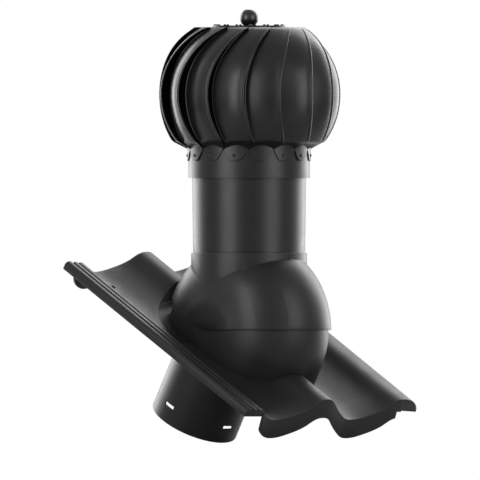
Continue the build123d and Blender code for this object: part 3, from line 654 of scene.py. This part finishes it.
class MakePlate(bpy.types.Operator):
    """Roof plate with rounded edges, its drum, duct spigot and seal"""
    bl_idname = "ventilator.plate"
    bl_label = "Plate and spigot"

    def execute(self, context):
        colours = context.scene.ventilator_colours
        plastic = moulded_plastic("tile_plastic", colours.tile, 0.44, 0.25, PLASTIC_GLOSS)
        spigot = moulded_plastic("spigot_plastic", colours.cowl, 0.38, 0.15, PLASTIC_GLOSS)
        seal = rubber("seal_rubber", (0.01, 0.01, 0.01))
        dress({"tile_plastic": plastic, "spigot_plastic": spigot, "seal_rubber": seal},
              "base_drum", "duct_spigot", "spigot_seal")
        plate = copy_of("flashing", "roof_plate")
        round_off(plate, 0.0008, 38, 24)
        self.round_rib(plate, context.scene.ventilator_plate)
        bpy.ops.object.shade_smooth_by_angle(angle=radians(24))
        low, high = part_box("flashing")
        for vertex in plate.data.vertices:
            vertex.co = [min(max(c, l), h) for c, l, h in zip(vertex.co, low, high)]
        cover(plate, plastic)
        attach(plate, "flashing")
        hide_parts("flashing")
        return {"FINISHED"}

    def round_rib(self, plate, sizes):
        """Slices the plate's square outer rib finely and draws its top into a rounded bead."""
        left, right, top = sizes.rib_left, sizes.rib_right, sizes.rib_top
        rounds = (
            (left + sizes.rib_outer_round, sizes.rib_outer_round, -1),
            (right - sizes.rib_inner_round, sizes.rib_inner_round, 1))
        planes = []
        for middle, radius, side in rounds:
            for step in range(1, RIB_STEPS + 1):
                turn = pi / 2 * step / RIB_STEPS
                planes.append((Vector((middle + side * radius * sin(turn), 0, 0)), Vector((1, 0, 0))))
                planes.append((PIVOT + ROOF_UP * (top - radius * (1 - cos(turn))), ROOF_UP))

        def height(point):
            return (point - PIVOT).dot(ROOF_UP)

        for place, normal in planes:
            select_faces(plate, lambda face: face.center.x < right + 0.0003
                         and height(face.center) > top - sizes.rib_outer_round - 0.001)
            bpy.ops.mesh.bisect(plane_co=place, plane_no=normal)
            bpy.ops.object.mode_set(mode="OBJECT")
        for vertex in plate.data.vertices:
            for middle, radius, side in rounds:
                outwards = (vertex.co.x - middle) * side
                upwards = height(vertex.co) - (top - radius)
                reach = hypot(outwards, upwards)
                if outwards > 0 and upwards > 0 and reach > radius and vertex.co.x < right + 0.0003:
                    pull = radius / reach - 1
                    vertex.co += Vector((outwards * side * pull, 0, 0)) + ROOF_UP * (upwards * pull)


class MakeCowl(bpy.types.Operator):
    """Tilting cowl with rounded edges and smoothed sides"""
    bl_idname = "ventilator.cowl"
    bl_label = "Cowl"

    def execute(self, context):
        colours = context.scene.ventilator_colours
        shell = copy_of("cowl", "cowl_shell")
        select_faces(shell, lambda face: abs(face.center.x) > 0.04 and face.normal.x * face.center.x > 0
                     and abs(face.normal.x) > 0.25 and face.center.z < PIVOT.z + 0.06)
        bpy.ops.mesh.select_less()
        bpy.ops.mesh.vertices_smooth(factor=0.5, repeat=14)
        bpy.ops.object.mode_set(mode="OBJECT")
        round_off(shell, 0.0007, 38, 18)
        cover(shell, moulded_plastic("cowl_plastic", colours.cowl, 0.40, 0.2, PLASTIC_GLOSS))
        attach(shell, "cowl")
        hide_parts("cowl")
        return {"FINISHED"}


class DressPipes(bpy.types.Operator):
    """Painted riser pipe, the rotor's collar, top plate and crown disc, and their rivets"""
    bl_idname = "ventilator.pipes"
    bl_label = "Riser and collar"

    def execute(self, context):
        colours = context.scene.ventilator_colours
        sheet = painted_sheet("painted_sheet", colours.sheet, 0.36, SHEET_GLOSS)
        rivet = painted_sheet("painted_rivet", colours.sheet, 0.34, SHEET_GLOSS)
        dress({"painted_sheet": sheet, "painted_rivet": rivet},
              "riser_pipe", "rotor_collar", "collar_rivets", "top_plate", "crown_disc", "crown_rivets")
        return {"FINISHED"}


class DressFinial(bpy.types.Operator):
    """Satin plastic knob on the rotor's crown"""
    bl_idname = "ventilator.finial"
    bl_label = "Finial"

    def execute(self, context):
        colours = context.scene.ventilator_colours
        knob = moulded_plastic("knob_plastic", colours.knob, 0.34, 0.05, 0.34)
        dress({"knob_plastic": knob}, "finial_knob")
        return {"FINISHED"}


class DressWorks(bpy.types.Operator):
    """Bracket, axle, bearings and their housing"""
    bl_idname = "ventilator.works"
    bl_label = "Bracket, axle and bearings"

    def execute(self, context):
        colours = context.scene.ventilator_colours
        finishes = {
            "zinc_steel": plated_steel("zinc_steel", colours.steel, 0.38, 120),
            "plain_steel": plated_steel("plain_steel", (0.5, 0.5, 0.51), 0.3, 60),
            "bearing_steel": plated_steel("bearing_steel", (0.6, 0.6, 0.61), 0.18, 40),
        }
        works = [part["node"] for part in frame["record"]["subparts"] if part["material_slot"] in finishes]
        dress(finishes, *works)
        return {"FINISHED"}


class VentilatorPanel(bpy.types.Panel):
    """Sidebar panel with the steps and their settings"""
    bl_idname = "VIEW3D_PT_ventilator"
    bl_label = "Roof turbine ventilator"
    bl_space_type = "VIEW_3D"
    bl_region_type = "UI"
    bl_category = "Ventilator"

    def draw(self, context):
        layout = self.layout
        for step in STEPS:
            layout.operator(step.bl_idname)
        for title, settings in (
            ("Rotor", context.scene.ventilator_rotor),
            ("Plate", context.scene.ventilator_plate),
            ("Finish", context.scene.ventilator_colours),
            ("Stage", context.scene.ventilator_stage),
        ):
            box = layout.box()
            box.label(text=title)
            for name in settings.__annotations__:
                box.prop(settings, name)


STEPS = (MakeStage, MakePlate, MakeCowl, DressPipes, MakeBlades, DressFinial, DressWorks)
CLASSES = (RotorSizes, PlateSizes, FinishColours, StageSizes, *STEPS, VentilatorPanel)


def register():
    for item in CLASSES:
        bpy.utils.register_class(item)
    bpy.types.Scene.ventilator_rotor = PointerProperty(type=RotorSizes)
    bpy.types.Scene.ventilator_plate = PointerProperty(type=PlateSizes)
    bpy.types.Scene.ventilator_colours = PointerProperty(type=FinishColours)
    bpy.types.Scene.ventilator_stage = PointerProperty(type=StageSizes)


def unregister():
    del bpy.types.Scene.ventilator_stage
    del bpy.types.Scene.ventilator_colours
    del bpy.types.Scene.ventilator_plate
    del bpy.types.Scene.ventilator_rotor
    for item in reversed(CLASSES):
        bpy.utils.unregister_class(item)


def main():
    register()
    bpy.ops.ventilator.stage()
    bpy.ops.ventilator.plate()
    bpy.ops.ventilator.cowl()
    bpy.ops.ventilator.pipes()
    bpy.ops.ventilator.blades()
    bpy.ops.ventilator.finial()
    bpy.ops.ventilator.works()


if __name__ == "__main__":
    main()
